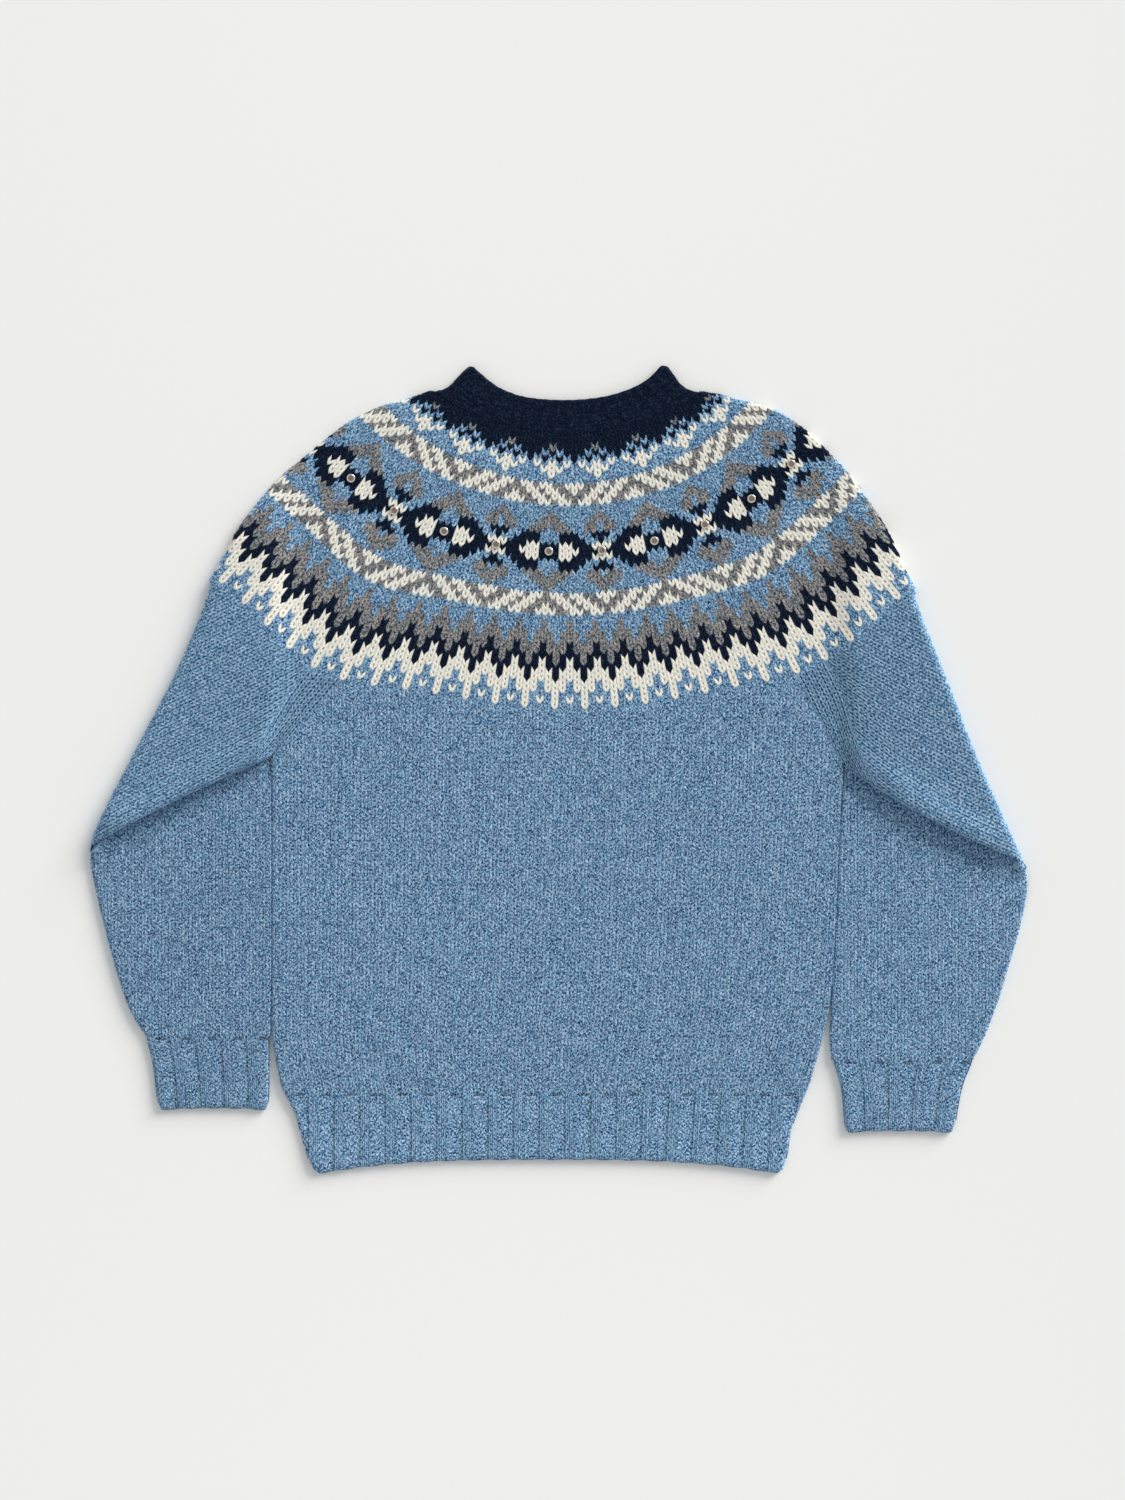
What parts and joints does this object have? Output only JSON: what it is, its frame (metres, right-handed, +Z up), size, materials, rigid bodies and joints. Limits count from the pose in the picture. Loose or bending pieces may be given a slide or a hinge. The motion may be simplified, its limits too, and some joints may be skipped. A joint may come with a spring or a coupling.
{
  "type": "fair isle sweater",
  "caption": "Chunky crew-neck sweater with a round patterned yoke, ribbed neck, cuffs and hem, lying flat back up with its sleeves folded under.",
  "frame": {"origin": "centre of the sweater's outline, on the surface it lies on", "axes": "+X across the back to the viewer's right, +Y from hem to neck, +Z up out of the back, which lies uppermost"},
  "size_m": [0.8452, 0.7278, 0.0138],
  "materials": {
    "blue_wool": "heathered denim blue wool in plain knit",
    "yoke_wool": "stranded knit in navy, blue, cream and taupe wool",
    "navy_wool": "ribbed dark navy wool",
    "stud_metal": "polished pale metal with a warm tint"
  },
  "bodies": {
    "root": {"back": "blue_wool", "front": "blue_wool", "yoke": "yoke_wool", "neckband": "navy_wool", "hem_rib": "blue_wool", "sleeve_left": "blue_wool", "sleeve_right": "blue_wool", "cuff_left": "blue_wool", "cuff_right": "blue_wool", "stud_01": "stud_metal", "stud_02": "stud_metal", "stud_03": "stud_metal", "stud_04": "stud_metal", "stud_05": "stud_metal", "stud_06": "stud_metal", "stud_07": "stud_metal", "stud_08": "stud_metal", "stud_09": "stud_metal", "stud_10": "stud_metal"}
  },
  "joints": []
}
